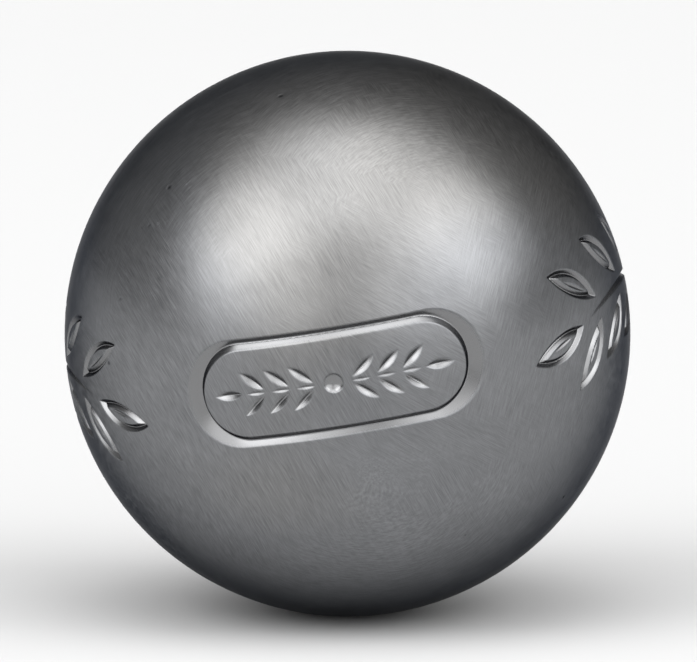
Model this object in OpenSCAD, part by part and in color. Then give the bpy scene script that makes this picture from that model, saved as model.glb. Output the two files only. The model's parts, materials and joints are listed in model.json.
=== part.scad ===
// Steel petanque ball: two turned half shells joined by one ring of weld metal.
// The outside is ground to one sphere, and the marks are cut into it afterwards.
// Origin: centre of the ball. +Z is up, and the medallion faces -Y.

/* [Ball] */
// Outside diameter of the finished ball
ball_d = 74; // [70.5:0.5:80]
// Thickness of the steel wall
wall = 6.15; // [5:0.05:8]

/* [Weld] */
// Slope of each shell's bevelled edge, from the plane of the weld
weld_bevel = 22; // [10:1:26]
// Height of the square land left below the bevel, at the inside of the wall
weld_land = 1.8; // [1:0.1:2.5]
// Gap between the two lands
root_gap = 1; // [0.6:0.1:1.6]
// Width of the bead that the weld leaves inside the ball
root_bead_w = 3; // [2.4:0.1:4]
// Height of that bead over the inside of the wall
root_bead_h = 0.5; // [0.3:0.1:0.8]
// Plain steel left between the weld and the nearest mark
mark_gap = 0.8; // [0.4:0.1:2]

/* [Belt of marks] */
// Slope of the belt that all marks are centred on, rising to the right
belt_slope = 9.3; // [0:0.1:20]
// Longitude of the medallion's middle, to the right of straight ahead
medal_lon = -2.7; // [-6:0.1:6]
// Latitude of the medallion's middle
medal_lat = -2.6; // [-6:0.1:6]

/* [Medallion] */
// Length of the medallion's groove, seen from straight ahead
medal_len = 38; // [34:0.1:40]
// Height of the medallion's groove, seen from straight ahead
medal_h = 14; // [12:0.1:17]
// Width of the groove along the two long sides
medal_side_w = 1.5; // [1.2:0.05:1.8]
// Width of the groove at the two round ends
medal_end_w = 2.4; // [1.9:0.05:2.8]
// Width of the groove's outer slope where it is cut to full depth
outer_slope_w = 1.3; // [0.9:0.05:1.6]
// Width of the groove's inner slope where it is cut to full depth
inner_slope_w = 0.9; // [0.5:0.05:1.1]
// Full depth of the groove
medal_depth = 0.9; // [0.5:0.1:1.2]

/* [Laurel in the medallion] */
// Length of one leaf, chip-carved to a V that runs out at both ends
chip_leaf_l = 3.9; // [3:0.1:4.2]
// Width of one leaf
chip_leaf_w = 1.35; // [1:0.05:1.5]
// Depth of one leaf
chip_leaf_depth = 0.5; // [0.3:0.05:0.7]
// Pairs of leaves on each side of the middle
chip_leaf_pairs = 3; // [1:1:3]
// Angle between a leaf and the twig
chip_leaf_splay = 38; // [34:1:44]
// Distance from the twig's middle line to the foot of a leaf
chip_leaf_foot = 0.65; // [0.6:0.05:0.9]
// Plain field left between the last leaf and the groove
laurel_margin = 1.2; // [0.6:0.1:2]
// Width of the twig, cut as one short stroke from each pair of leaves to the next
twig_w = 0.6; // [0.4:0.05:0.7]
// Depth of those strokes
twig_depth = 0.35; // [0.2:0.05:0.45]
// Diameter of the round berry in the middle
berry_d = 2.6; // [2:0.1:3]
// Depth of that berry
berry_depth = 0.6; // [0.4:0.05:0.8]

/* [Sprigs at the sides] */
// Length of the stem, from end to end
stem_l = 30; // [28:0.5:34]
// How far the stem bows up from its chord
stem_bow = 2.5; // [1:0.1:4]
// Pairs of leaves along the stem
leaf_pairs = 3; // [1:1:3]
// Length of one leaf
leaf_l = 10.5; // [9:0.1:11]
// How far the outer edge of a leaf bows from its chord
leaf_outer_bow = 2.1; // [1.6:0.1:2.4]
// How far the inner edge of a leaf bows from its chord
leaf_inner_bow = 1.4; // [1:0.1:1.7]
// Angle between a leaf and the stem
leaf_splay = 40; // [36:1:46]
// Distance from the stem's middle line to the foot of a leaf
leaf_foot = 2.2; // [2:0.1:2.8]
// Distance from the stem's front end to its first pair of leaves
leaf_start = 4.2; // [3:0.1:5]
// Distance from one pair of leaves to the next, along the stem
leaf_pitch = 8.8; // [8.4:0.1:9.4]
// Length of the vein in each leaf
vein_l = 4.6; // [3:0.1:5]
// Distance from the foot of a leaf to its vein
vein_start = 2.7; // [2.4:0.1:3.2]
// Width of that vein
vein_w = 0.6; // [0.4:0.05:0.7]
// Depth of that vein
vein_depth = 0.35; // [0.2:0.05:0.45]

/* [Engraved line] */
// Width of the line that draws the stems and the leaves
line_w = 1.05; // [0.8:0.05:1.3]
// Depth of that line
line_depth = 0.6; // [0.4:0.05:0.8]

/* [Hidden] */
$fn = 96;
ball_r = ball_d / 2;
bore_r = ball_r - wall;
// How far a cutter stands out past what it cuts
overrun = 0.5;

// Angle at the ball's centre of a length that is measured straight across the surface
function across(length) = asin(length / ball_r);

// The weld: half its width at the surface, and the longitude of its plane, left of the medallion
weld_half_w = root_gap / 2 + (wall - weld_land) * tan(weld_bevel);
weld_side_angle = across(weld_half_w) + across(mark_gap);
medal_half_angle = across(medal_len / 2);
seam_lon = -medal_half_angle - weld_side_angle;

// The sprigs start as far beyond the weld as the medallion ends before it
sprig_tip_lon = medal_half_angle + 2 * weld_side_angle;
stem_lon = sprig_tip_lon + across(leaf_l + leaf_foot) + across(stem_l / 2);

// How far a cutter reaches past the ends of an arc, as a share of its overrun
end_spare_share = 4;

// Turns the frame of the belt of marks into the ball's frame
module on_belt() {
    rotate([0, 0, medal_lon])
        rotate([-medal_lat, 0, 0])
        rotate([0, -belt_slope, 0])
        children();
}

// Stands children on the belt: their +Z points out of the ball and +X along the belt to the right
module facing_out(lon) {
    rotate([0, 0, lon])
        rotate([90, 0, 0])
        children();
}

// Moves children over the surface along their X
module walk(distance) {
    rotate([0, across(distance), 0])
        children();
}

// Point of a profile, at a radius from the ball's centre and an angle from the profile's axis
function polar(radius, angle) = [radius * sin(angle), radius * cos(angle)];

// Distance from the profile's axis, at one height, of the straight line through two of its points
function line_at(a, b, height) = a.x + (b.x - a.x) * (height - a.y) / (b.y - a.y);

// An arc on the surface that bows from its chord: [tilt of its axis, angle from its axis, half its turn]
function bowed(chord, bow) =
    let(
        reach = across(chord / 2),
        rise = across(bow),
        tilt = atan((cos(rise) - cos(reach)) / sin(rise)),
        away = tilt + rise
    )
    [tilt, away, asin(sin(reach) / sin(away))];

// Stands children on such an arc, at a distance from its middle, with X along the arc
module on_arc(chord, bow, distance) {
    path = bowed(chord, bow);
    rotate([path[0], 0, 0])
        rotate([0, 0, -distance / (ball_r * sin(path[1])) * 180 / PI])
        rotate([-path[1], 0, 0])
        children();
}

// Wedge of an arc's inner side that takes in the arc, with spare past its two ends.
// Its wall starts on the arc at the surface and has leaned in by lean_w at the cut's depth.
// The wedge reaches in from the arc by reach_in.
module edge(chord, bow, depth, lean_w, reach_in, spare = overrun) {
    path = bowed(chord, bow);
    at_surface = polar(ball_r, path[1]);
    at_depth = polar(ball_r - depth, path[1] - across(lean_w));
    rise = (at_surface - at_depth) * spare / depth;
    inner = path[1] - across(reach_in);
    turn = path[2] + end_spare_share * spare / (ball_r * sin(path[1])) * 180 / PI;
    rotate([path[0], 0, 0])
        rotate_extrude(angle = 2 * turn, start = 90 - turn)
        polygon([
            polar(ball_r - depth - spare, inner),
            at_depth - rise,
            at_surface + rise,
            polar(ball_r + spare, inner)
        ]);
}

// Everything inside the whole circle that an arc is part of, with the same kind of wall,
// which may start inset from the arc
module inside_circle(chord, bow, depth, lean_w, inset, spare) {
    path = bowed(chord, bow);
    rim = path[1] - across(inset);
    at_surface = polar(ball_r, rim);
    at_depth = polar(ball_r - depth, rim - across(lean_w));
    low = at_depth.y - spare;
    high = ball_r + spare;
    rotate([path[0], 0, 0])
        rotate_extrude()
        polygon([
            [0, low],
            [line_at(at_surface, at_depth, low), low],
            [line_at(at_surface, at_depth, high), high],
            [0, high]
        ]);
}

// Leaf shape between an arc that bows towards +Y and one that bows towards -Y
module between_arcs(chord, bow_up, bow_down, depth, lean_w, inset = 0, spare = overrun) {
    intersection() {
        inside_circle(chord, bow_up, depth, lean_w, inset, spare);
        mirror([0, 1, 0])
            inside_circle(chord, bow_down, depth, lean_w, inset, spare);
    }
}

// Solid leaf along X, cut as a V that is deepest in its middle and runs out at both ends
module chip_leaf(length, width, depth) {
    between_arcs(length, width / 2, width / 2, depth, width / 2);
}

// Line along X that swells to its full width and depth in its middle, bowing towards +Y
module swelling_line(chord, bow) {
    reach_in = line_w + 2 * overrun;
    difference() {
        edge(chord, bow + line_w / 2, line_depth, line_w / 2, reach_in);
        edge(
            chord, bow - line_w / 2, line_depth, -line_w / 2, 2 * reach_in,
            spare = 2 * overrun
        );
    }
}

// Leaf drawn in outline, with a vein: its tip is towards +X and its outer edge towards +Y
module outlined_leaf() {
    difference() {
        between_arcs(leaf_l, leaf_outer_bow, leaf_inner_bow, line_depth, line_w / 2);
        between_arcs(
            leaf_l, leaf_outer_bow, leaf_inner_bow, line_depth, -line_w / 2,
            inset = line_w, spare = 2 * overrun
        );
    }
    walk(vein_start + vein_l / 2 - leaf_l / 2)
        chip_leaf(vein_l, vein_w, vein_depth);
}

// Sprig with its stem along X and its tip towards -X
module sprig() {
    swelling_line(stem_l, stem_bow);
    on_arc(stem_l, stem_bow, -stem_l / 2)
        walk(-leaf_foot - leaf_l / 2)
        rotate([0, 0, 180])
        outlined_leaf();
    for (i = [0 : leaf_pairs - 1], side = [0, 1])
        on_arc(stem_l, stem_bow, leaf_start + i * leaf_pitch - stem_l / 2)
            mirror([0, side, 0])
            rotate([0, 0, 180 - leaf_splay])
            walk(leaf_foot + leaf_l / 2)
            mirror([0, 1, 0])
            outlined_leaf();
}

// Long body with round ends and a sloping wall, standing on the medallion's middle.
// half_l and half_h are its size at the surface, and slope_w is how far the wall leans in at full depth.
module sloped_tablet(half_l, half_h, slope_w, low, high) {
    at_surface = polar(ball_r, across(half_h));
    at_depth = polar(ball_r - medal_depth, across(half_h - slope_w));
    w_low = line_at(at_surface, at_depth, low);
    w_high = line_at(at_surface, at_depth, high);
    end_lon = across(half_l) - across(half_h);
    rotate([0, 0, -90 - end_lon])
        rotate_extrude(angle = 2 * end_lon)
        polygon([[low, -w_low], [high, -w_high], [high, w_high], [low, w_low]]);
    for (side = [0, 1])
        mirror([side, 0, 0])
            facing_out(end_lon)
            rotate_extrude(angle = 180, start = -90)
            polygon([[0, low], [w_low, low], [w_high, high], [0, high]]);
}

// The groove round the medallion: its outer slope falls to full depth, and the field is left standing
module medallion_groove() {
    low = ball_r - 2 * medal_depth;
    high = ball_r + overrun;
    difference() {
        sloped_tablet(medal_len / 2, medal_h / 2, outer_slope_w, low, high);
        sphere(r = ball_r - medal_depth);
        sloped_tablet(
            medal_len / 2 - medal_end_w,
            medal_h / 2 - medal_side_w,
            -inner_slope_w,
            low - overrun,
            high + overrun
        );
    }
}

// Laurel from the middle of the medallion towards +X
module laurel_half() {
    field_half_l = medal_len / 2 - medal_end_w;
    last_foot = field_half_l - laurel_margin - chip_leaf_l;
    first_foot = berry_d / 2 + chip_leaf_foot;
    pitch = (last_foot - first_foot) / chip_leaf_pairs;
    walk(last_foot + chip_leaf_l / 2)
        chip_leaf(chip_leaf_l, chip_leaf_w, chip_leaf_depth);
    for (i = [0 : chip_leaf_pairs - 1]) {
        walk(first_foot + (i + 1 / 2) * pitch)
            chip_leaf(pitch - chip_leaf_foot, twig_w, twig_depth);
        for (side = [-1, 1])
            walk(first_foot + i * pitch)
                rotate([0, 0, side * chip_leaf_splay])
                walk(chip_leaf_foot + chip_leaf_l / 2)
                chip_leaf(chip_leaf_l, chip_leaf_w, chip_leaf_depth);
    }
}

// Round pit, cut with a ball cutter
module berry() {
    cutter_r = (pow(berry_d / 2, 2) + pow(berry_depth, 2)) / (2 * berry_depth);
    translate([0, 0, ball_r - berry_depth + cutter_r])
        sphere(r = cutter_r);
}

// Frame of the weld: its plane is z = 0 and the right half shell lies above it
module on_seam() {
    on_belt()
        facing_out(seam_lon + 90)
        children();
}

// Everything that one half shell's edge leaves free, from its bevel and land down
module below_edge() {
    land_r = bore_r + weld_land;
    rim_r = ball_r + overrun;
    rotate_extrude()
        polygon([
            [0, -rim_r],
            [rim_r, -rim_r],
            [rim_r, weld_half_w + overrun * tan(weld_bevel)],
            [land_r, root_gap / 2],
            [0, root_gap / 2]
        ]);
}

// Plain half shell on its weld plane, its spheres turned about the axis that lies in the weld
module half_shell() {
    difference() {
        rotate([90, 0, 0])
            sphere(r = ball_r);
        rotate([90, 0, 0])
            sphere(r = bore_r);
        below_edge();
    }
}

// Right half shell, with the medallion and the right sprig
module right_half_shell() {
    color([0.36, 0.37, 0.39])
        difference() {
            on_seam()
                half_shell();
            on_belt() {
                medallion_groove();
                facing_out(0) {
                    berry();
                    laurel_half();
                    mirror([1, 0, 0])
                        laurel_half();
                }
                facing_out(stem_lon)
                    sprig();
            }
        }
}

// Left half shell, with the left sprig
module left_half_shell() {
    color([0.34, 0.35, 0.37])
        difference() {
            on_seam()
                mirror([0, 0, 1])
                half_shell();
            on_belt()
                mirror([1, 0, 0])
                facing_out(stem_lon)
                sprig();
        }
}

// Ring of filler metal in the V between the shells, ground flush outside, with its bead inside
module weld_ring() {
    rim_r = ball_r + overrun;
    rim_w = weld_half_w + overrun * tan(weld_bevel);
    land_r = bore_r + weld_land;
    foot_r = bore_r - root_bead_h / 2;
    crest_r = bore_r - root_bead_h;
    bead_edge_r = sqrt(pow(bore_r, 2) - pow(root_bead_w / 2, 2));
    bead_middle_r = (pow(bore_r, 2) - pow(crest_r, 2)) / (2 * (bead_edge_r - crest_r));
    color([0.4, 0.41, 0.43])
        on_seam() {
            intersection() {
                sphere(r = ball_r);
                rotate_extrude()
                    polygon([
                        [foot_r, -root_gap / 2],
                        [land_r, -root_gap / 2],
                        [rim_r, -rim_w],
                        [rim_r, rim_w],
                        [land_r, root_gap / 2],
                        [foot_r, root_gap / 2]
                    ]);
            }
            intersection() {
                sphere(r = bore_r);
                rotate_extrude()
                    translate([bead_middle_r, 0])
                    circle(r = bead_middle_r - crest_r);
            }
        }
}

right_half_shell();
left_half_shell();
weld_ring();
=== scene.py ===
"""Petanque ball of brushed steel: two half shells and the ring of weld metal between them."""

import json
import math

import bpy
import numpy as np
from mathutils import Matrix, Vector
from mathutils.geometry import delaunay_2d_cdt

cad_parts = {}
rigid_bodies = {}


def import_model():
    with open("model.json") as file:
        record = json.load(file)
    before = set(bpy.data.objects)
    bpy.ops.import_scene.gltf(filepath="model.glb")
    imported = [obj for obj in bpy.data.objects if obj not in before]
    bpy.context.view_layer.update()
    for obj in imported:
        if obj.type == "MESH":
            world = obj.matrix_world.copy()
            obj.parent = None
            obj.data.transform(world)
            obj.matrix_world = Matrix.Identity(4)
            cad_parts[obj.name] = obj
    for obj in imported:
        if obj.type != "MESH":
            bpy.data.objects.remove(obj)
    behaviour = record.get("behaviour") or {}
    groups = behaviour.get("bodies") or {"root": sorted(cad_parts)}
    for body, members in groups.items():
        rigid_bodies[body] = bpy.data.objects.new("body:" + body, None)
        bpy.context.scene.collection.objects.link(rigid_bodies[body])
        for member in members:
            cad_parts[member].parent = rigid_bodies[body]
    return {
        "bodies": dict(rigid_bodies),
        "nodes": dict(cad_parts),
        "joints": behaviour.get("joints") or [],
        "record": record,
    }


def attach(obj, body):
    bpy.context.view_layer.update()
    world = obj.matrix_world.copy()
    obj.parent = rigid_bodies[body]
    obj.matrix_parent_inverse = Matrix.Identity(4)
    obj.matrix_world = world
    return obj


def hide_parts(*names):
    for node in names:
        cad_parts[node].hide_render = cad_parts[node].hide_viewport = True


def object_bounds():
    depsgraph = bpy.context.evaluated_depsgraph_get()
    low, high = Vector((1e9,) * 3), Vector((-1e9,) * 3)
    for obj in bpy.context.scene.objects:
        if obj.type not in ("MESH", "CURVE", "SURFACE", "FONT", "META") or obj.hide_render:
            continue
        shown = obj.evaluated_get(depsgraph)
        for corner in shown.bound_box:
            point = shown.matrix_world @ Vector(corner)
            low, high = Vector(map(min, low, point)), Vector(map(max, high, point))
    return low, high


bl_info = {
    "name": "Petanque Ball",
    "version": (1, 0, 0),
    "blender": (4, 5, 0),
    "location": "3D View > Sidebar > Petanque",
    "description": "Builds a brushed steel ball with an engraved medallion and sprigs",
    "category": "Object",
}

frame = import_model()
CAD_LOW, CAD_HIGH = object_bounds()
CAD_DIAMETER = CAD_HIGH.z - CAD_LOW.z
BODY = "root"
MM = 0.001


def number(name, description, default, **settings):
    """A number with its unit or range."""
    return bpy.props.FloatProperty(name=name, description=description, default=default, **settings)


def length(name, description, default):
    """A length in metres."""
    return number(name, description, default, unit="LENGTH", precision=6)


def angle(name, description, degrees):
    """An angle, given in degrees."""
    return number(name, description, math.radians(degrees), subtype="ANGLE", unit="ROTATION")


def share(name, description, default):
    """A number from 0 to 1."""
    return number(name, description, default, min=0, max=1, subtype="FACTOR")


def amount(name, description, default):
    """A plain positive number."""
    return number(name, description, default, min=0)


def count(name, description, default):
    """A whole number."""
    return bpy.props.IntProperty(name=name, description=description, default=default, min=1)


def colour(name, description, default):
    """A linear colour."""
    return bpy.props.FloatVectorProperty(
        name=name, description=description, default=default, subtype="COLOR", min=0, max=1
    )


class BallSizes(bpy.types.PropertyGroup):
    """The ball, its weld and the belt that its marks are centred on."""

    diameter: length("Diameter", "Outside diameter of the ball", CAD_DIAMETER)
    wall: length("Wall", "Thickness of the steel wall", 6.15 * MM)
    bevel: angle("Bevel", "Slope of each shell's bevelled edge, from the plane of the weld", 22)
    land: length("Land", "Height of the square land below the bevel", 1.8 * MM)
    root_gap: length("Root gap", "Gap between the two lands", 1 * MM)
    bead_width: length("Bead width", "Width of the bead inside the ball", 3 * MM)
    bead_height: length("Bead height", "Height of the bead inside the ball", 0.5 * MM)
    mark_gap: length("Mark gap", "Plain steel between the weld and the nearest mark", 0.8 * MM)
    belt_slope: angle("Belt slope", "Slope of the belt of marks, rising to the right", 9.3)
    belt_longitude: angle("Belt longitude", "Longitude of the medallion's middle", -2.7)
    belt_latitude: angle("Belt latitude", "Latitude of the medallion's middle", -2.6)


class MedallionSizes(bpy.types.PropertyGroup):
    """The groove on the front and the laurel inside it."""

    length: length("Length", "Length of the groove, seen from ahead", 38 * MM)
    height: length("Height", "Height of the groove, seen from ahead", 14 * MM)
    side_width: length("Side width", "Width of the groove along its long sides", 1.5 * MM)
    end_width: length("End width", "Width of the groove at its round ends", 2.4 * MM)
    inner_high: length("Upper inner wall", "Width of the inner wall along the top", 1 * MM)
    inner_low: length("Lower inner wall", "Width of the inner wall along the bottom", 0.65 * MM)
    depth: length("Depth", "Depth of the groove at its round ends", 0.9 * MM)
    leaf_length: length("Leaf length", "Length of one laurel leaf", 3.9 * MM)
    leaf_width: length("Leaf width", "Width of one laurel leaf", 1.35 * MM)
    leaf_depth: length("Leaf depth", "Depth of one laurel leaf", 0.5 * MM)
    leaf_pairs: count("Leaf pairs", "Pairs of leaves on each side of the middle", 3)
    leaf_splay: angle("Leaf splay", "Angle between a leaf and the twig", 38)
    leaf_foot: length("Leaf foot", "Distance from the twig to the foot of a leaf", 0.65 * MM)
    margin: length("Margin", "Plain field between the last leaf and the groove", 1.2 * MM)
    twig_width: length("Twig width", "Width of the twig", 0.6 * MM)
    twig_depth: length("Twig depth", "Depth of the twig", 0.22 * MM)
    berry_diameter: length("Berry diameter", "Diameter of the round berry", 2.6 * MM)
    berry_depth: length("Berry depth", "Depth of the round berry", 0.6 * MM)


class SprigSizes(bpy.types.PropertyGroup):
    """The engraved sprigs at the two sides."""

    stem_length: length("Stem length", "Length of the stem, from end to end", 30 * MM)
    stem_bow: length("Stem bow", "How far the stem bows up from its chord", 2.5 * MM)
    leaf_pairs: count("Leaf pairs", "Pairs of leaves along the stem", 3)
    leaf_length: length("Leaf length", "Length of one leaf", 10.5 * MM)
    outer_bow: length("Outer bow", "How far the outer edge of a leaf bows", 2.1 * MM)
    inner_bow: length("Inner bow", "How far the inner edge of a leaf bows", 1.4 * MM)
    leaf_splay: angle("Leaf splay", "Angle between a leaf and the stem", 40)
    leaf_foot: length("Leaf foot", "Distance from the stem to the foot of a leaf", 2.2 * MM)
    leaf_start: length("Leaf start", "Distance from the stem's front end to its leaves", 4.2 * MM)
    leaf_pitch: length("Leaf pitch", "Distance from one pair of leaves to the next", 8.8 * MM)
    vein_length: length("Vein length", "Length of the vein in each leaf", 4.6 * MM)
    vein_start: length("Vein start", "Distance from the foot of a leaf to its vein", 2.7 * MM)
    vein_width: length("Vein width", "Width of the vein", 0.6 * MM)
    vein_depth: length("Vein depth", "Depth of the vein", 0.24 * MM)
    line_width: length("Line width", "Width of the line that draws the sprig", 1.05 * MM)
    line_depth: length("Line depth", "Depth of that line", 0.6 * MM)


class SteelFinish(bpy.types.PropertyGroup):
    """The steel's surface: its colours, gloss, brushing and small damage."""

    steel: colour("Steel", "Colour of the brushed steel", (0.202, 0.206, 0.213))
    warm_steel: colour("Warm steel", "Colour of its warmer patches", (0.21, 0.208, 0.204))
    cut_steel: colour("Cut steel", "Colour of the steel inside the marks", (0.225, 0.226, 0.23))
    # Near-black colour mixed into the nicks, more of it towards their bottom.
    dirt: colour("Darkening", "Colour of the dirt at the bottom of the nicks", (0.07, 0.071, 0.074))
    edge: colour("Edge tint", "Tint of the steel seen at a grazing angle", (0.16, 0.165, 0.18))
    roughness: share("Roughness", "Roughness of the brushed steel", 0.33)
    cut_roughness: share("Cut roughness", "Roughness inside the marks", 0.24)
    brush_width: length("Brush width", "Width of one brush mark", 0.09 * MM)
    brush_length: length("Brush length", "Length of one brush mark", 2.8 * MM)
    brush_height: length("Brush height", "Height of the brush marks in the bump", 0.0075 * MM)
    brush_shade: share("Brush shade", "How far a brush mark lightens or darkens the steel", 0.25)
    brush_gloss: share("Brush gloss", "How far a brush mark changes the roughness", 0.05)
    patch_cover: share("Patch cover", "How far a later brushing hides the one below it", 0.8)
    cloud_shade: share("Cloud shade", "How far soft clouds lighten or darken the steel", 0.05)
    cut_smoothing: share("Cut smoothing", "How far the bump fades inside the marks", 0.7)
    scratch_depth: length("Scratch depth", "Depth of the few deeper scratches", 0.006 * MM)
    soft_rim: length("Soft rim", "Depth over which the rim of a mark is rounded", 0.07 * MM)
    soft_root: length("Soft root", "Width over which the root of a mark is rounded", 0.18 * MM)
    nicks: count("Nicks", "Number of small dents over the whole ball", 22)
    nick_width: length("Nick width", "Widest dent", 0.8 * MM)
    nick_depth: length("Nick depth", "Deepest dent", 0.05 * MM)
    finest: length("Finest mesh", "Spacing of the mesh at the marks' edges", 0.135 * MM)
    coarsest: length("Coarsest mesh", "Spacing of the mesh on plain steel", 1.5 * MM)


class StageLook(bpy.types.PropertyGroup):
    """The floor, the soft light and the camera."""

    floor: colour("Floor", "Colour of the floor", (0.61, 0.61, 0.61))
    floor_radius: length("Floor radius", "Radius of the flat part of the floor", 2.2)
    floor_bend: length("Floor bend", "How far the floor's edge runs on while it bends up", 0.9)
    floor_rise: length("Floor rise", "How high the floor's edge rises", 0.35)
    horizon: amount("Horizon", "Light of the room at the height of the ball", 0.42)
    zenith: amount("Zenith", "Light of the room straight above the ball", 0.2)
    front: amount("Front", "Light that the front half of the room adds", 0.05)
    low_glow: amount("Low glow", "Light at the middle of each low glow", 1.87)
    low_glow_side: angle("Low glow side", "How far each low glow is to the side", 35)
    low_glow_height: angle("Low glow height", "How high each low glow is", 22)
    high_glow: amount("High glow", "Light at the middle of each high glow", 1.62)
    high_glow_side: angle("High glow side", "How far each high glow is to the side", 37)
    high_glow_height: angle("High glow height", "How high each high glow is", 70)
    glow_core: angle("Glow core", "Half width of the bright middle of a glow", 14)
    glow_edge: angle("Glow edge", "Half width of a whole glow", 38)
    lamp_power: amount("Lamp power", "Power of each round softbox in watts", 107)
    lamp_distance: length("Lamp distance", "Distance of each softbox", 6)
    lamp_width: length("Lamp width", "Diameter of each softbox", 4.6)
    left_lamp_side: angle("Left lamp side", "How far left of the front one softbox is", 57)
    right_lamp_side: angle("Right lamp side", "How far right of it the other is", 66)
    lamp_height: angle("Lamp height", "How high each softbox is", 40)
    camera_distance: length("Camera distance", "Distance of the camera", 0.8)
    camera_height: angle("Camera height", "How high the camera looks from", 7)
    camera_lens: length("Lens", "Focal length of the camera", 0.3157)
    aim_right: length("Aim right", "How far right of the ball's centre the camera aims", 0.13 * MM)
    aim_up: length("Aim up", "How far above the ball's centre the camera aims", 0.34 * MM)


def soft_max(a, b, blend):
    """The larger of two values, rounded where they come within blend of each other."""
    near = np.maximum(blend - np.abs(a - b), 0) / blend
    return np.maximum(a, b) + near * near * blend / 4


def soft_min(a, b, blend):
    """The smaller of two values, rounded in the same way."""
    return -soft_max(-a, -b, blend)


def unit(vectors):
    """Vectors brought to a length of 1."""
    return vectors / np.linalg.norm(vectors, axis=1, keepdims=True)


def turn(axis, radians):
    """Rotation about X, Y or Z."""
    return np.array(Matrix.Rotation(radians, 3, axis))


MIRROR_X = np.diag([-1.0, 1.0, 1.0])
MIRROR_Y = np.diag([1.0, -1.0, 1.0])
TO_FRONT = turn("X", math.pi / 2)


class Globe:
    """The ball's surface, with lengths on it measured as angles at its centre."""

    def __init__(self, sizes):
        self.radius = sizes.diameter / 2
        self.bore = self.radius - sizes.wall
        self.belt = (
            turn("Z", sizes.belt_longitude)
            @ turn("X", -sizes.belt_latitude)
            @ turn("Y", -sizes.belt_slope)
        )

    def across(self, distance):
        """Angle at the centre of a length that is measured straight across the surface."""
        return math.asin(distance / self.radius)

    def facing_out(self, longitude):
        """Stand on the belt: +Z points out, +X runs along the belt to the right."""
        return turn("Z", longitude) @ TO_FRONT

    def walk(self, distance):
        """Step over the surface along X."""
        return turn("Y", self.across(distance))

    def bowed(self, chord, bow):
        """Arc that bows from its chord: the tilt of its axis and the angle from that axis."""
        reach = self.across(chord / 2)
        rise = self.across(bow)
        tilt = math.atan((math.cos(rise) - math.cos(reach)) / math.sin(rise))
        return tilt, tilt + rise

    def on_arc(self, chord, bow, distance):
        """Stand on such an arc, at a distance from its middle, with X along it."""
        tilt, away = self.bowed(chord, bow)
        along = distance / (self.radius * math.sin(away))
        return turn("X", tilt) @ turn("Z", -along) @ turn("X", -away)

    def inside(self, points, axis, rim):
        """How far inside a circle each point of the unit sphere lies, along the surface."""
        cosine = np.clip(points @ axis, -1, 1)
        return self.radius * (rim - np.arccos(cosine))

    def arc_inside(self, points, stand, chord, bow, side=1):
        """How far inside the circle of a bowed arc each point lies."""
        tilt, away = self.bowed(chord, bow)
        axis = (stand @ turn("X", tilt * side))[:, 2]
        return self.inside(points, axis, away)


class Mark:
    """A cut in the ball, placed by its stand.

    For points of the unit sphere, its measure method gives the signed depth of the cut and
    the distance from it."""

    def __init__(self, globe, stand, sizes, root):
        self.globe = globe
        self.stand = stand
        self.sizes = sizes
        self.root = root

    def between(self, one_edge, other_edge, width, depth):
        """Measure of a V between two edges, from the distances inside each."""
        inward = soft_min(one_edge, other_edge, self.root)
        return depth / (width / 2) * inward, np.maximum(-inward, 0)


class ChipLeaf(Mark):
    """Solid leaf, cut as a V. Its sizes are its length, width and depth."""

    def measure(self, points):
        span, width, depth = self.sizes
        upper, lower = (
            self.globe.arc_inside(points, self.stand, span, width / 2, side) for side in (1, -1)
        )
        return self.between(upper, lower, width, depth)


class LeafOutline(Mark):
    """Line round a leaf that points to +X."""

    def measure(self, points):
        s = self.sizes
        outer = self.globe.arc_inside(points, self.stand, s.leaf_length, s.outer_bow)
        inner = self.globe.arc_inside(points, self.stand, s.leaf_length, s.inner_bow, -1)
        inward = soft_min(outer, inner, self.root / 2)
        return self.between(inward, s.line_width - inward, s.line_width, s.line_depth)


class Stem(Mark):
    """Bowed line that swells to its full width in its middle."""

    def measure(self, points):
        s = self.sizes
        half = s.line_width / 2
        arc = (points, self.stand, s.stem_length)
        under = self.globe.arc_inside(*arc, s.stem_bow + half)
        over = -self.globe.arc_inside(*arc, s.stem_bow - half)
        return self.between(under, over, s.line_width, s.line_depth)


class RoundPit(Mark):
    """Round pit with the shape of a ball cutter. Its sizes are its width and depth."""

    def measure(self, points):
        width, depth = self.sizes
        half = width / 2
        cutter = (half**2 + depth**2) / (2 * depth)
        away = half - self.globe.inside(points, self.stand[:, 2], half / self.globe.radius)
        bowl = depth - cutter + np.sqrt(cutter**2 - np.minimum(away, half) ** 2)
        beyond = np.maximum(away - half, 0)
        return bowl - 2 * depth / half * beyond, beyond


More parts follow.
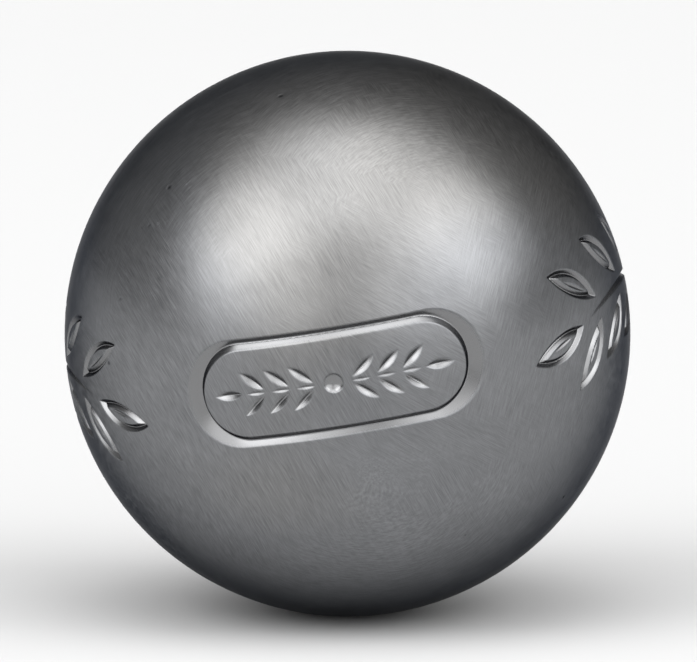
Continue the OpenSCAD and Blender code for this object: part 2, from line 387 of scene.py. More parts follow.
class MedallionGroove(Mark):
    """Groove round the medallion's field, long with round ends. Its distance is the one
    from its nearest crease."""

    def inward(self, points, shrink_x, shrink_y):
        """How far inside the rounded outline each point lies."""
        g, s = self.globe, self.sizes
        on_belt = points @ self.stand
        rim = g.across(s.height / 2 - shrink_y)
        end = g.across(s.length / 2 - shrink_x) - rim
        latitude = np.arcsin(np.clip(on_belt[:, 2], -1, 1))
        longitude = np.arctan2(on_belt[:, 0], -on_belt[:, 1])
        side = g.radius * (rim - np.abs(latitude))
        right_end = g.facing_out(end)[:, 2]
        on_belt[:, 0] = np.abs(on_belt[:, 0])
        tip = g.inside(on_belt, right_end, rim)
        return np.where(np.abs(longitude) < end, side, tip)

    def measure(self, points):
        s = self.sizes
        outside = self.inward(points, 0, 0)
        field = self.inward(points, s.end_width, s.side_width)
        height = self.globe.radius * (points @ self.stand)[:, 2]
        rise = np.clip(height / (s.height / 2), -1, 1)
        inner_width = (s.inner_high + s.inner_low + rise * (s.inner_high - s.inner_low)) / 2
        width = np.maximum(outside - field, s.side_width)
        outer_width = width - inner_width
        depth = s.depth / s.end_width * width
        outer = depth / outer_width * outside
        inner = -depth / inner_width * field
        from_rims = np.minimum(np.abs(outside), np.abs(field))
        from_root = np.abs(outside - outer_width)
        in_cut = (outside > 0) & (field < 0)
        away = np.where(in_cut, np.minimum(from_rims, from_root), from_rims)
        return soft_min(outer, inner, self.root), away


def laurel(globe, sizes, root):
    """All cuts inside the medallion."""
    middle = globe.belt @ globe.facing_out(0)
    field_half = sizes.length / 2 - sizes.end_width
    last = field_half - sizes.margin - sizes.leaf_length
    first = sizes.berry_diameter / 2 + sizes.leaf_foot
    pitch = (last - first) / sizes.leaf_pairs
    stroke = pitch - sizes.leaf_foot
    leaf = (sizes.leaf_length, sizes.leaf_width, sizes.leaf_depth)
    twig = (stroke, sizes.twig_width, sizes.twig_depth)
    berry = (sizes.berry_diameter, sizes.berry_depth)
    out = globe.walk(sizes.leaf_foot + sizes.leaf_length / 2)
    marks = [RoundPit(globe, middle, berry, root)]
    for hand in (np.eye(3), MIRROR_X):
        stand = middle @ hand
        tip = globe.walk(last + sizes.leaf_length / 2)
        marks.append(ChipLeaf(globe, stand @ tip, leaf, root))
        for i in range(sizes.leaf_pairs):
            between = globe.walk(first + (i + 0.5) * pitch)
            marks.append(ChipLeaf(globe, stand @ between, twig, root))
            on_twig = stand @ globe.walk(first + i * pitch)
            for side in (-1, 1):
                splayed = on_twig @ turn("Z", side * sizes.leaf_splay)
                marks.append(ChipLeaf(globe, splayed @ out, leaf, root))
    return marks


def drawn_leaf(globe, stand, sizes, root):
    """One outlined leaf with its vein."""
    along = globe.walk(sizes.vein_start + sizes.vein_length / 2 - sizes.leaf_length / 2)
    vein = (sizes.vein_length, sizes.vein_width, sizes.vein_depth)
    return [LeafOutline(globe, stand, sizes, root), ChipLeaf(globe, stand @ along, vein, root)]


def sprig(globe, stand, sizes, root):
    """Stem along X with its tip towards -X, an end leaf and the pairs of leaves."""
    arc = (sizes.stem_length, sizes.stem_bow)
    half = sizes.stem_length / 2
    marks = [Stem(globe, stand, sizes, root)]
    tip = globe.walk(-sizes.leaf_foot - sizes.leaf_length / 2) @ turn("Z", math.pi)
    marks += drawn_leaf(globe, stand @ globe.on_arc(*arc, -half) @ tip, sizes, root)
    out = globe.walk(sizes.leaf_foot + sizes.leaf_length / 2)
    for i in range(sizes.leaf_pairs):
        foot = globe.on_arc(*arc, sizes.leaf_start + i * sizes.leaf_pitch - half)
        for flip in (np.eye(3), MIRROR_Y):
            splayed = flip @ turn("Z", math.pi - sizes.leaf_splay) @ out @ MIRROR_Y
            marks += drawn_leaf(globe, stand @ foot @ splayed, sizes, root)
    return marks


# Longitude and latitude in degrees, and size as a share of the largest dent. The last four
# lie in a row, as one skipping scratch leaves them.
FRONT_NICKS = (
    (-29, 61.5, 0.9),
    (-48.5, 35, 1),
    (31, -38, 0.5),
    (-52, 26, 0.3),
    (-49.6, 26.5, 0.55),
    (-46.6, 27.1, 0.35),
    (-43.9, 27.8, 0.4),
)
# The other dents: their seed, the range of the sine of their latitude, and their sizes.
NICK_SEED = 11
NICK_HEIGHTS = (-0.9, 0.95)
NICK_SIZES = (0.35, 0.9)


def small_nicks(globe, finish):
    """Small dents: those on the front, and others scattered by a fixed seed."""
    chance = np.random.default_rng(NICK_SEED)
    marks = []
    for i in range(finish.nicks):
        longitude = chance.uniform(-180, 180)
        latitude = math.degrees(math.asin(chance.uniform(*NICK_HEIGHTS)))
        size = chance.uniform(*NICK_SIZES)
        if i < len(FRONT_NICKS):
            longitude, latitude, size = FRONT_NICKS[i]
        facing = turn("Z", math.radians(longitude)) @ turn("X", -math.radians(latitude))
        sizes = (size * finish.nick_width, size * finish.nick_depth)
        marks.append(RoundPit(globe, facing @ TO_FRONT, sizes, finish.soft_root))
    return marks


# A distance beyond the ball, for points that no mark is near.
FAR = 1.0
# Half the angle, in radians, over which a slope is measured.
SLOPE_STEP = 2e-4
# Beyond this height on the unit sphere, a tangent is taken from X and not from Z.
NEAR_POLE = 0.9


class Relief:
    """All marks of one piece together: how deep the surface lies below the ball."""

    def __init__(self, globe, marks, rim):
        self.globe = globe
        self.marks = marks
        self.rim = rim

    def measure(self, points):
        """Signed depth and the distance to the nearest mark."""
        cut = np.full(len(points), -FAR)
        away = np.full(len(points), FAR)
        for mark in self.marks:
            depth, distance = mark.measure(points)
            cut = soft_max(cut, depth, self.rim / 2)
            away = np.minimum(away, distance)
        return cut, away

    def depth(self, points):
        """Depth under the ball's surface, with the rims rounded."""
        cut, _ = self.measure(points)
        return soft_max(cut, np.zeros(len(points)), self.rim)

    def normals(self, points, depth):
        """Outward normals of the surface, from the slope of the depth."""
        off_pole = np.abs(points[:, 2:3]) < NEAR_POLE
        helper = np.where(off_pole, [[0.0, 0.0, 1.0]], [[1.0, 0.0, 0.0]])
        first = unit(np.cross(helper, points))
        second = np.cross(points, first)
        normal = points * (self.globe.radius - depth)[:, None]
        for tangent in (first, second):
            ahead = self.depth(unit(points + SLOPE_STEP * tangent))
            behind = self.depth(unit(points - SLOPE_STEP * tangent))
            normal += ((ahead - behind) / (2 * SLOPE_STEP))[:, None] * tangent
        return unit(normal)


HEX_STEPS = np.array([[1, 0], [0, 1], [-1, 1], [-1, 0], [0, -1], [1, -1]])
# Points round the weld's edges, and bands across an arc of its profile.
RIM_COUNT = 360
ARC_BANDS = 8
# The lattice's axes lean, so it has to reach this much further than the rim.
LATTICE_REACH = 1.2
# Lattice points this near the rim, as a share of its own spacing, are left out.
RIM_CLEARANCE = 0.6
# How much the mesh coarsens with the distance from a mark, and how coarse the bore's is.
MESH_GROWTH = 0.4
BORE_COARSENESS = 3
# Flat points nearer than this, in millimetres, count as one.
SAME_POINT = 1e-6
# Keeps a division by 0 away.
TINY = 1e-12


def ring(radius, height):
    """Points of a circle about Z."""
    around = np.arange(RIM_COUNT) * 2 * math.pi / RIM_COUNT
    flat = [radius * np.cos(around), radius * np.sin(around)]
    return np.column_stack([*flat, np.full(RIM_COUNT, height)])


class Cap:
    """Triangles over a round cap of a sphere, finer where a size function asks for it.

    The cap is drawn flat by a stereographic map, which keeps circles and angles, so that a
    flat Delaunay mesh of its points is also one on the sphere."""

    def __init__(self, radius, rim_angle, finest, coarsest):
        self.radius = radius
        self.rim = 2 * radius * math.tan(rim_angle / 2)
        self.finest = finest
        self.levels = int(math.log2(coarsest / finest)) + 1

    def flat(self, cells):
        """Flat positions of lattice cells."""
        across, up = cells.T
        return self.finest * np.column_stack([across + up / 2, up * math.sqrt(0.75)])

    def lifted(self, flat):
        """Unit vectors of flat positions, about +Z."""
        distance = np.linalg.norm(flat, axis=1)
        away = 2 * np.arctan(distance / (2 * self.radius))
        ratio = np.sin(away) / np.maximum(distance, TINY)
        return np.column_stack([flat * ratio[:, None], np.cos(away)])

    def grow(self, size_at):
        """Lattice points, nested from coarse to fine."""
        step = 2**self.levels
        side = int(self.rim / (self.finest * step) * LATTICE_REACH) + 2
        grid = np.arange(-side, side + 1) * step
        cells = np.stack(np.meshgrid(grid, grid), -1).reshape(-1, 2)
        kept = []
        while True:
            flat = self.flat(cells)
            cells = cells[np.linalg.norm(flat, axis=1) < self.rim]
            kept.append(cells)
            if step == 1:
                break
            lifted = self.lifted(self.flat(cells))
            spacing = self.finest * step * (1 + lifted[:, 2]) / 2
            parents = cells[size_at(lifted) < spacing]
            step //= 2
            children = (parents[:, None, :] + step * HEX_STEPS[None]).reshape(-1, 2)
            cells = np.unique(np.concatenate([parents, children]), axis=0)
        return self.flat(np.unique(np.concatenate(kept), axis=0))

    def build(self, size_at):
        """Unit vectors and triangles. The first RIM_COUNT vectors are the rim, in order."""
        rim = ring(self.rim, 0)[:, :2]
        inner = self.grow(size_at)
        spacing = 2 * math.pi * self.rim / RIM_COUNT
        inner = inner[np.linalg.norm(inner, axis=1) < self.rim - spacing * RIM_CLEARANCE]
        flat = np.concatenate([rim, inner])
        scaled = [Vector(p) for p in (flat / MM).tolist()]
        _, _, faces, _, _, _ = delaunay_2d_cdt(scaled, [], [], 0, SAME_POINT)
        return self.lifted(flat), np.array(faces)


def add_object(name, data):
    """Puts an object of a mesh, lamp or camera in the scene."""
    made = bpy.data.objects.new(name, data)
    bpy.context.scene.collection.objects.link(made)
    return made


class Skin:
    """Collects the points, faces and corner normals of one closed piece.

    Rings are given about the Z axis of the piece's own frame."""

    def __init__(self, frame):
        self.frame = frame
        self.points = np.zeros((0, 3))
        self.shares = {"cut": np.zeros(0), "dirt": np.zeros(0)}
        self.corners = []
        self.sizes = []
        self.normals = []
        self.creases = []

    def add_points(self, points, **shares):
        """Adds points, with their shares of cut metal and of the darker nick colour, and returns
        their numbers.
        """
        start = len(self.points)
        self.points = np.concatenate([self.points, points])
        for name, known in self.shares.items():
            added = shares.get(name, np.zeros(len(points)))
            self.shares[name] = np.concatenate([known, added])
        return np.arange(start, start + len(points))

    def add_faces(self, faces, normals, numbers, flip):
        """Adds faces. normals belongs to the patch's own points, which numbers maps."""
        if flip:
            faces = faces[:, ::-1]
        self.corners.append(numbers[faces].ravel())
        self.sizes.append(np.full(len(faces), faces.shape[1]))
        self.normals.append(normals[faces.ravel()])

    def add_ring(self, radius, height):
        """Adds the points of a ring and returns their numbers."""
        return self.add_points(ring(radius, height) @ self.frame.T)

    def add_band(self, low, high, low_facing, high_facing, flip):
        """Adds a band of quads between two rings. A facing says how far outward and how far
        upward the band's profile faces at that ring."""
        i = np.arange(RIM_COUNT)
        j = (i + 1) % RIM_COUNT
        quads = np.stack([i, j, j + RIM_COUNT, i + RIM_COUNT], 1)
        normals = np.concatenate([ring(*low_facing), ring(*high_facing)]) @ self.frame.T
        self.add_faces(quads, normals, np.concatenate([low, high]), flip)

    def sharp_edges(self, mesh):
        """Which edges run along a crease ring; make marks them sharp."""
        rings = np.full(len(self.points), -1)
        for number, crease in enumerate(self.creases):
            rings[crease] = number
        ends = np.empty(2 * len(mesh.edges), dtype=np.int32)
        mesh.edges.foreach_get("vertices", ends)
        first, second = rings[ends.reshape(-1, 2)].T
        return (first == second) & (first >= 0)

    def make(self, name):
        """Makes the mesh object in the scene."""
        corners = np.concatenate(self.corners)
        sizes = np.concatenate(self.sizes)
        mesh = bpy.data.meshes.new(name)
        mesh.vertices.add(len(self.points))
        mesh.vertices.foreach_set("co", self.points.ravel())
        mesh.loops.add(len(corners))
        mesh.loops.foreach_set("vertex_index", corners)
        mesh.polygons.add(len(sizes))
        mesh.polygons.foreach_set("loop_start", np.cumsum(sizes) - sizes)
        mesh.update(calc_edges=True)
        mesh.polygons.foreach_set("use_smooth", np.ones(len(sizes), dtype=bool))
        mesh.edges.foreach_set("use_edge_sharp", self.sharp_edges(mesh))
        mesh.normals_split_custom_set(np.concatenate(self.normals).tolist())
        for share_name, values in self.shares.items():
            layer = mesh.attributes.new(share_name, "FLOAT", "POINT")
            layer.data.foreach_set("value", values)
        return add_object(name, mesh)


class Seam:
    """The weld's own frame and profile: its plane is z = 0 and the right shell lies above."""

    def __init__(self, globe, ball, medallion):
        half_width = ball.root_gap / 2 + (ball.wall - ball.land) * math.tan(ball.bevel)
        self.half_angle = globe.across(half_width)
        self.side = self.half_angle + globe.across(ball.mark_gap)
        self.medallion_end = globe.across(medallion.length / 2)
        longitude = -self.medallion_end - self.side
        self.frame = globe.belt @ globe.facing_out(longitude + math.pi / 2)
        self.land_radius = globe.bore + ball.land
        self.land_height = ball.root_gap / 2


def half_shell(name, globe, ball, seam, marks, finish, upper):
    """One half shell as a closed piece: outside with its marks, bevel, land and inside."""
    to_ball = seam.frame @ np.diag([1.0, 1.0, 1.0 if upper else -1.0])
    flip = not upper
    nicks = Relief(globe, small_nicks(globe, finish), finish.soft_rim / 4)
    relief = Relief(globe, marks + nicks.marks, finish.soft_rim)
    rim_angle = math.pi / 2 - seam.half_angle
    outer_cap = Cap(globe.radius, rim_angle, finish.finest, finish.coarsest)
    rim_step = 2 * math.pi * globe.radius / RIM_COUNT

    def size_at(points):
        _, away = relief.measure(points @ to_ball.T)
        from_rim = globe.radius * np.maximum(rim_angle - np.arccos(points[:, 2]), 0)
        by_mark = finish.finest + np.maximum(away - 2 * finish.finest, 0) * MESH_GROWTH
        by_rim = rim_step + from_rim * MESH_GROWTH
        return np.minimum(by_mark, by_rim).clip(max=finish.coarsest)

    outside, triangles = outer_cap.build(size_at)
    directions = outside @ to_ball.T
    depth = relief.depth(directions)
    depth[:RIM_COUNT] = 0
    normals = relief.normals(directions, depth)
    skin = Skin(to_ball)
    placed = directions * (globe.radius - depth)[:, None]
    cut = np.clip((depth - finish.nick_depth) / (2 * finish.soft_rim), 0, 1)
    # Share of that near-black colour: it grows with the depth in a nick.
    dirt = np.clip(nicks.depth(directions) / finish.nick_depth - cut, 0, 1)
    outer = skin.add_points(placed, cut=cut, dirt=dirt)
    skin.add_faces(triangles, normals, outer, flip)

    bore_angle = math.pi / 2 - math.asin(seam.land_height / globe.bore)
    inner_cap = Cap(globe.bore, bore_angle, finish.coarsest / 2, finish.coarsest * 2)
    bore_step = BORE_COARSENESS * rim_step
    inside, inner_triangles = inner_cap.build(lambda points: np.full(len(points), bore_step))
    inner_directions = inside @ to_ball.T
    inner = skin.add_points(inner_directions * globe.bore)
    skin.add_faces(inner_triangles, -inner_directions, inner, not flip)

    land = skin.add_ring(seam.land_radius, seam.land_height)
    bevel = (math.sin(ball.bevel), -math.cos(ball.bevel))
    skin.add_band(outer[:RIM_COUNT], land, bevel, bevel, flip)
    skin.add_band(land, inner[:RIM_COUNT], (0, -1), (0, -1), flip)
    skin.creases += [outer[:RIM_COUNT], land, inner[:RIM_COUNT]]
    return skin.make(name)


def arc_bands(skin, side, centre, radius, half_angle):
    """Bands with an arc as their profile, which faces out (side 1) or in (side -1), and
    the first and last of their rings."""
    rings = []
    facings = []
    for lean in np.linspace(-half_angle, half_angle, ARC_BANDS + 1):
        across, along = side * math.cos(lean), math.sin(lean)
        rings.append(skin.add_ring(centre + radius * across, radius * along))
        facings.append((across, along))
    for i in range(ARC_BANDS):
        skin.add_band(rings[i], rings[i + 1], facings[i], facings[i + 1], side < 0)
    return rings[0], rings[-1]


def weld_ring(name, globe, ball, seam):
    """The ring of weld metal, ground flush outside, with its bead inside."""
    skin = Skin(seam.frame)
    outer_rings = arc_bands(skin, 1, 0, globe.radius, seam.half_angle)

    crest = globe.bore - ball.bead_height
    edge = math.sqrt(globe.bore**2 - (ball.bead_width / 2) ** 2)
    middle = (globe.bore**2 - crest**2) / (2 * (edge - crest))
    bead_radius = middle - crest
    foot = math.asin(ball.bead_width / 2 / bead_radius)
    bead_rings = arc_bands(skin, -1, middle, bead_radius, foot)

    for side, outer, bead in zip((-1, 1), outer_rings, bead_rings):
        height = side * seam.land_height
        land = skin.add_ring(seam.land_radius, height)
        root = skin.add_ring(math.sqrt(globe.bore**2 - height**2), height)
        bevel = (-math.sin(ball.bevel), side * math.cos(ball.bevel))
        skin.add_band(land, outer, bevel, bevel, side > 0)
        skin.add_band(root, land, (0, side), (0, side), side > 0)
        skin.add_band(bead, root, (1, 0), (1, 0), side > 0)
        skin.creases += [outer, land, root, bead]
    return skin.make(name)


class Nodes:
    """Short way to write the node tree of a material or of the world, from an empty one."""

    def __init__(self, owner):
        owner.use_nodes = True
        self.tree = owner.node_tree
        self.tree.nodes.clear()

    def add(self, kind, inputs=(), **settings):
        """Adds a node. inputs maps a socket's name or number to a value or to another socket."""
        node = self.tree.nodes.new(kind)
        for key, value in settings.items():
            setattr(node, key, value)
        for key, value in dict(inputs).items():
            if isinstance(value, bpy.types.NodeSocket):
                self.tree.links.new(value, node.inputs[key])
            else:
                node.inputs[key].default_value = value
        return node

    def math(self, operation, a, b=0.0, c=0.0):
        """One sum of numbers."""
        node = self.add("ShaderNodeMath", {0: a, 1: b, 2: c}, operation=operation)
        return node.outputs[0]

    def dot(self, a, b):
        """Cosine of the angle between two directions."""
        node = self.add("ShaderNodeVectorMath", {0: a, 1: b}, operation="DOT_PRODUCT")
        return node.outputs["Value"]

    def ramp(self, value, low, high, to_low=0.0, to_high=1.0):
        """Maps a range of values to another, clamped and eased."""
        node = self.add(
            "ShaderNodeMapRange",
            {0: value, 1: low, 2: high, 3: to_low, 4: to_high},
            interpolation_type="SMOOTHSTEP",
        )
        return node.outputs[0]

    def noise(self, vector, scale, detail, roughness, seed=0.0):
        """Noise of about 0.5 in the middle."""
        node = self.add(
            "ShaderNodeTexNoise",
            {"Vector": vector, "W": seed, "Scale": scale, "Detail": detail, "Roughness": roughness},
            noise_dimensions="4D",
        )
        return node.outputs[0]

    def blend(self, factor, a, b):
        """Mixes two numbers."""
        node = self.add("ShaderNodeMix", {0: factor, 2: a, 3: b}, data_type="FLOAT")
        return node.outputs[0]

    def mix(self, factor, a, b):
        """Mixes two colours."""
        node = self.add("ShaderNodeMix", {0: factor, 6: a, 7: b}, data_type="RGBA")
        return node.outputs[2]


def rgba(values):
    """A colour with full alpha."""
    return (*values, 1.0)


# Scale, detail and roughness of the noise in the brush marks, the clouds and the warm patches.
BRUSH_NOISE = (1.0, 3.0, 0.6)
CLOUD_NOISE = (120.0, 3.0, 0.55)
WARM_NOISE = (22.0, 1.0, 0.5)
# How far apart the brushings lie in that noise.
SEED_STEP = 7.0
# Noise values between which the shade, gloss, warmth and scratches change.
SHADE_RANGE = (0.25, 0.75)
GLOSS_RANGE = (0.2, 0.8)
WARM_RANGE = (0.5, 0.7)
SCRATCH_RANGE = (0.64, 0.72)
# Nearer to its axis than this share of the radius, a brushing's marks get shorter.
POLE_SHARE = 0.1
# How far the clouds shift the edge of a brushed patch, and how soft that edge is.
PATCH_RAGGED = 0.9
PATCH_FADE = 0.2


class Brushing:
    """Marks of one pass of the brush, in circles about an axis, over a round patch of the ball."""

    def __init__(self, axis, middle, reach):
        self.axis = Vector(axis).normalized()
        self.middle = Vector(middle).normalized()
        self.reach = math.radians(reach)

    def marks(self, nodes, place, finish, radius, seed):
        """Height of the marks, about 0.5 in the middle."""
        upright = self.axis.rotation_difference(Vector((0, 0, 1))).to_euler()
        socket_values = {"Vector": place, "Rotation": upright}
        turned = nodes.add("ShaderNodeVectorRotate", socket_values, rotation_type="EULER_XYZ")
        x, y, z = nodes.add("ShaderNodeSeparateXYZ", {0: turned.outputs[0]}).outputs
        squares = nodes.math("MULTIPLY_ADD", x, x, nodes.math("MULTIPLY", y, y))
        across = nodes.math("MAXIMUM", nodes.math("SQRT", squares), radius * POLE_SHARE)
        to_circle = nodes.math("DIVIDE", radius / finish.brush_length, across)
        vector = nodes.add(
            "ShaderNodeCombineXYZ",
            {
                0: nodes.math("MULTIPLY", x, to_circle),
                1: nodes.math("MULTIPLY", y, to_circle),
                2: nodes.math("MULTIPLY", z, 1 / finish.brush_width),
            },
        )
        return nodes.noise(vector.outputs[0], *BRUSH_NOISE, seed)

    def patch(self, nodes, outward, ragged):
        """1 inside the patch and 0 outside, with a ragged edge."""
        return nodes.ramp(
            nodes.math("MULTIPLY_ADD", ragged, PATCH_RAGGED, nodes.dot(outward, self.middle)),
            math.cos(self.reach * (1 + PATCH_FADE)) + PATCH_RAGGED / 2,
            math.cos(self.reach * (1 - PATCH_FADE)) + PATCH_RAGGED / 2,
        )


# Axis of the circles, middle of the patch, and the patch's reach in degrees.
FIRST_BRUSHING = Brushing((0.87, 0.1, 0.5), (0, -1, 0), 180)
LATER_BRUSHINGS = (
    Brushing((-0.1, -1, 0.15), (-0.62, -0.12, 0.78), 40),
    Brushing((0.38, -0.83, 0.4), (0.1, -0.5, 0.86), 24),
    Brushing((0.5, 0.05, 0.86), (0.5, -0.85, 0.1), 34),
    Brushing((-0.95, 0, 0.25), (0.85, -0.5, 0.05), 34),
    Brushing((0.1, -0.9, -0.3), (0.3, -0.3, -0.9), 45),
    Brushing((0.3, 0.3, 0.9), (-0.4, 0.9, 0.1), 50),
    Brushing((0.9, 0.4, -0.2), (0.7, 0.7, -0.2), 35),
)


def brushed_steel(name, finish, ball):
    """Brushed steel with a few scratches, smoother walls in the marks and nicks that turn darker
    towards their bottom.
    """
    material = bpy.data.materials.new(name)
    nodes = Nodes(material)
    place = nodes.add("ShaderNodeTexCoord").outputs["Object"]
    outward = nodes.add("ShaderNodeVectorMath", {0: place}, operation="NORMALIZE").outputs[0]
    radius = ball.diameter / 2
    cut = nodes.add("ShaderNodeAttribute", attribute_name="cut").outputs["Fac"]
    dirt = nodes.add("ShaderNodeAttribute", attribute_name="dirt").outputs["Fac"]
    cloud = nodes.noise(place, *CLOUD_NOISE)
    warm = nodes.ramp(nodes.noise(place, *WARM_NOISE), *WARM_RANGE)

    brush = FIRST_BRUSHING.marks(nodes, place, finish, radius, 0.0)
    for number, brushing in enumerate(LATER_BRUSHINGS, 1):
        later = brushing.marks(nodes, place, finish, radius, SEED_STEP * number)
        patch = brushing.patch(nodes, outward, cloud)
        brush = nodes.blend(nodes.math("MULTIPLY", patch, finish.patch_cover), brush, later)
    scratches = nodes.ramp(brush, *SCRATCH_RANGE)

    base = nodes.mix(warm, rgba(finish.steel), rgba(finish.warm_steel))
    shade = nodes.math(
        "MULTIPLY",
        nodes.ramp(brush, *SHADE_RANGE, 1 - finish.brush_shade, 1 + finish.brush_shade),
        nodes.ramp(cloud, *SHADE_RANGE, 1 - finish.cloud_shade, 1 + finish.cloud_shade),
    )
    shaded = nodes.add("ShaderNodeVectorMath", {0: base, 3: shade}, operation="SCALE").outputs[0]
    coloured = nodes.mix(cut, shaded, rgba(finish.cut_steel))
    # The nicks turn darker towards their bottom.
    coloured = nodes.mix(dirt, coloured, rgba(finish.dirt))

    smoothest = finish.roughness - finish.brush_gloss
    roughest = finish.roughness + finish.brush_gloss
    rough = nodes.ramp(brush, *GLOSS_RANGE, smoothest, roughest)
    roughness = nodes.blend(cut, rough, finish.cut_roughness)
    scratch_share = finish.scratch_depth / finish.brush_height
    height = nodes.math("MULTIPLY_ADD", scratches, -scratch_share, brush)
    keep = nodes.math("SUBTRACT", 1.0, nodes.math("MULTIPLY", cut, finish.cut_smoothing))
    bump = nodes.add(
        "ShaderNodeBump",
        {"Height": nodes.math("MULTIPLY", height, keep), "Distance": finish.brush_height},
    )
    shader = nodes.add(
        "ShaderNodeBsdfPrincipled",
        {
            "Base Color": coloured,
            "Metallic": 1.0,
            "Roughness": roughness,
            "Specular Tint": rgba(finish.edge),
            "Normal": bump.outputs[0],
        },
    )
    nodes.add("ShaderNodeOutputMaterial", {"Surface": shader.outputs[0]})
    return material


def dress(piece, node, material):
    """Gives a piece its material and puts it in its node's place."""
    piece.data.materials.append(material)
    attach(piece, BODY)
    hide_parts(node)


class BOULE_OT_half_shells(bpy.types.Operator):
    """Build both half shells with their engraved marks"""

    bl_idname = "boule.half_shells"
    bl_label = "Half Shells"

    def execute(self, context):
        scene = context.scene
        ball, finish = scene.boule_ball, scene.boule_finish
        globe = Globe(ball)
        seam = Seam(globe, ball, scene.boule_medallion)
        root = finish.soft_root
        sprigs = scene.boule_sprig
        end_leaf = globe.across(sprigs.leaf_length + sprigs.leaf_foot)
        half_stem = globe.across(sprigs.stem_length / 2)
        stand = globe.facing_out(seam.medallion_end + 2 * seam.side + end_leaf + half_stem)
        right = [MedallionGroove(globe, globe.belt, scene.boule_medallion, root)]
        right += laurel(globe, scene.boule_medallion, root)
        right += sprig(globe, globe.belt @ stand, sprigs, root)
        left = sprig(globe, globe.belt @ MIRROR_X @ stand, sprigs, root)
        steel = brushed_steel("Brushed steel", finish, ball)
        for name, marks, upper in (("right_shell", right, True), ("left_shell", left, False)):
            piece = half_shell(name, globe, ball, seam, marks, finish, upper)
            dress(piece, name.replace("shell", "half_shell"), steel)
        return {"FINISHED"}


class BOULE_OT_weld_ring(bpy.types.Operator):
    """Build the ring of weld metal between the half shells"""

    bl_idname = "boule.weld_ring"
    bl_label = "Weld Ring"

    def execute(self, context):
        scene = context.scene
        globe = Globe(scene.boule_ball)
        seam = Seam(globe, scene.boule_ball, scene.boule_medallion)
        piece = weld_ring("weld", globe, scene.boule_ball, seam)
        steel = brushed_steel("Ground weld", scene.boule_finish, scene.boule_ball)
        dress(piece, "weld_ring", steel)
        return {"FINISHED"}


def towards(side, height):
    """Direction from the ball: side is the angle right of the front, height the angle up."""
    flat = math.cos(height)
    return Vector((math.sin(side) * flat, -math.cos(side) * flat, math.sin(height)))


# Points round the floor, and rings in its bent edge.
FLOOR_TURNS = 96
FLOOR_STEPS = 12


def build_floor(look, height):
    """Round pale floor with no gloss, whose edge sweeps up all round into a low wall."""
    profile = [(look.floor_radius, 0.0)]
    for i in range(1, FLOOR_STEPS + 1):
        a = math.pi / 2 * i / FLOOR_STEPS
        distance = look.floor_radius + look.floor_bend * math.sin(a)
        profile.append((distance, look.floor_rise * (1 - math.cos(a))))
    verts = [
        (distance * math.cos(a), distance * math.sin(a), height + rise)
        for distance, rise in profile
        for a in np.linspace(0, 2 * math.pi, FLOOR_TURNS, endpoint=False)
    ]
    faces = [tuple(range(FLOOR_TURNS))]
    for row in range(FLOOR_STEPS):
        inner = row * FLOOR_TURNS
        outer = inner + FLOOR_TURNS
        for i in range(FLOOR_TURNS):
            j = (i + 1) % FLOOR_TURNS
            faces.append((outer + i, outer + j, inner + j, inner + i))
    mesh = bpy.data.meshes.new("floor")
    mesh.from_pydata(verts, [], faces)
    mesh.update()
    material = bpy.data.materials.new("Pale floor")
    nodes = Nodes(material)
    paint = nodes.add("ShaderNodeBsdfDiffuse", {"Color": rgba(look.floor)})
    nodes.add("ShaderNodeOutputMaterial", {"Surface": paint.outputs[0]})
    mesh.materials.append(material)
    add_object("floor", mesh)


def build_lamp(name, side, look):
    """Round softbox that faces the ball."""
    data = bpy.data.lights.new(name, "AREA")
    data.shape = "DISK"
    data.size = look.lamp_width
    data.energy = look.lamp_power
    lamp = add_object(name, data)
    lamp.location = towards(side, look.lamp_height) * look.lamp_distance
    lamp.rotation_euler = (-lamp.location).to_track_quat("-Z", "Y").to_euler()


# Upward parts of a direction, then backward ones, at which a light starts or is full.
ZENITH_FULL = 0.7
FRONT_FULL_UP = 0.6
FRONT_START = 0.5
FRONT_FULL = -0.1


def build_room_light(look):
    """Soft light from the room: dim behind, brighter in front, with two glows on each side."""
    world = bpy.data.worlds.new("room")
    nodes = Nodes(world)
    direction = nodes.add("ShaderNodeTexCoord").outputs["Generated"]
    _, back, up = nodes.add("ShaderNodeSeparateXYZ", {0: direction}).outputs
    light = nodes.ramp(up, 0.0, ZENITH_FULL, look.horizon, look.zenith)
    high = nodes.ramp(up, 0.0, FRONT_FULL_UP)
    front = nodes.math("MULTIPLY", high, nodes.ramp(back, FRONT_START, FRONT_FULL))
    light = nodes.math("MULTIPLY_ADD", front, look.front, light)
    for side, height, strength in (
        (look.low_glow_side, look.low_glow_height, look.low_glow),
        (look.high_glow_side, look.high_glow_height, look.high_glow),
    ):
        for hand in (-1, 1):
            near = nodes.dot(direction, towards(hand * side, height))
            glow = nodes.ramp(near, math.cos(look.glow_edge), math.cos(look.glow_core))
            light = nodes.math("MULTIPLY_ADD", glow, strength, light)
    background = nodes.add("ShaderNodeBackground", {"Color": (1, 1, 1, 1), "Strength": light})
    nodes.add("ShaderNodeOutputWorld", {"Surface": background.outputs[0]})
    bpy.context.scene.world = world


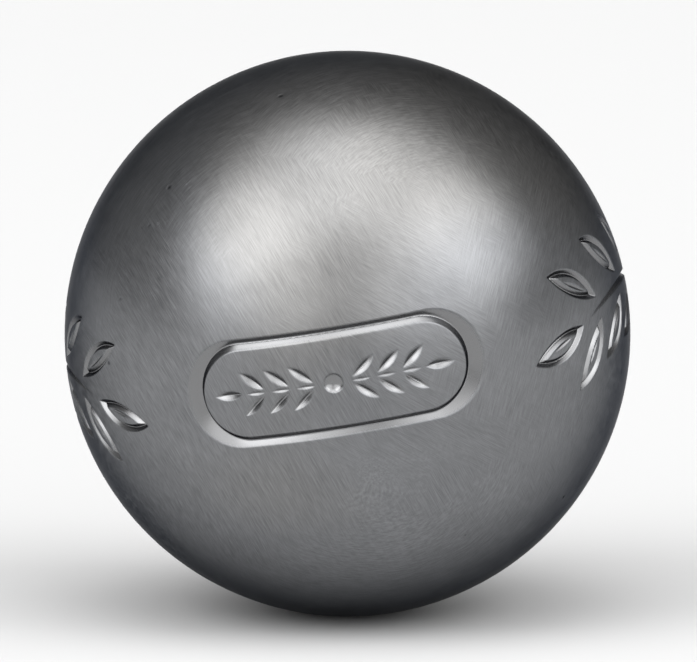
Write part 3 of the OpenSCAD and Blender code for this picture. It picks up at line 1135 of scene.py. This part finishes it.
def build_camera(look):
    """Camera at the picture's angle, aimed a little off the ball's centre."""
    data = bpy.data.cameras.new("camera")
    data.lens = look.camera_lens / MM
    camera = add_object("camera", data)
    back = towards(0, look.camera_height)
    camera.rotation_euler = (-back).to_track_quat("-Z", "Y").to_euler()
    camera.location = back * look.camera_distance + Vector((look.aim_right, 0, look.aim_up))
    bpy.context.scene.camera = camera


class BOULE_OT_stage(bpy.types.Operator):
    """Build the floor, the soft light and the camera"""

    bl_idname = "boule.stage"
    bl_label = "Stage"

    def execute(self, context):
        look = context.scene.boule_stage
        build_floor(look, CAD_LOW.z)
        build_lamp("left_softbox", -look.left_lamp_side, look)
        build_lamp("right_softbox", look.right_lamp_side, look)
        build_room_light(look)
        build_camera(look)
        context.scene.view_settings.view_transform = "Standard"
        return {"FINISHED"}


class BOULE_PT_panel(bpy.types.Panel):
    """Lists the steps that build the ball"""

    bl_idname = "BOULE_PT_panel"
    bl_label = "Petanque Ball"
    bl_space_type = "VIEW_3D"
    bl_region_type = "UI"
    bl_category = "Petanque"

    def draw(self, context):
        for step in OPERATORS:
            self.layout.operator(step.bl_idname)


GROUPS = {
    "boule_ball": BallSizes,
    "boule_medallion": MedallionSizes,
    "boule_sprig": SprigSizes,
    "boule_finish": SteelFinish,
    "boule_stage": StageLook,
}
OPERATORS = (BOULE_OT_stage, BOULE_OT_half_shells, BOULE_OT_weld_ring)
CLASSES = (*GROUPS.values(), *OPERATORS, BOULE_PT_panel)


def register():
    """Registers the classes and puts the settings on the scene."""
    for each in CLASSES:
        bpy.utils.register_class(each)
    for name, group in GROUPS.items():
        setattr(bpy.types.Scene, name, bpy.props.PointerProperty(type=group))


def unregister():
    """Takes the settings and the classes away again."""
    for name in GROUPS:
        delattr(bpy.types.Scene, name)
    for each in reversed(CLASSES):
        bpy.utils.unregister_class(each)


def main():
    """Builds the stage and the ball."""
    register()
    bpy.ops.boule.stage()
    bpy.ops.boule.half_shells()
    bpy.ops.boule.weld_ring()


if __name__ == "__main__":
    main()
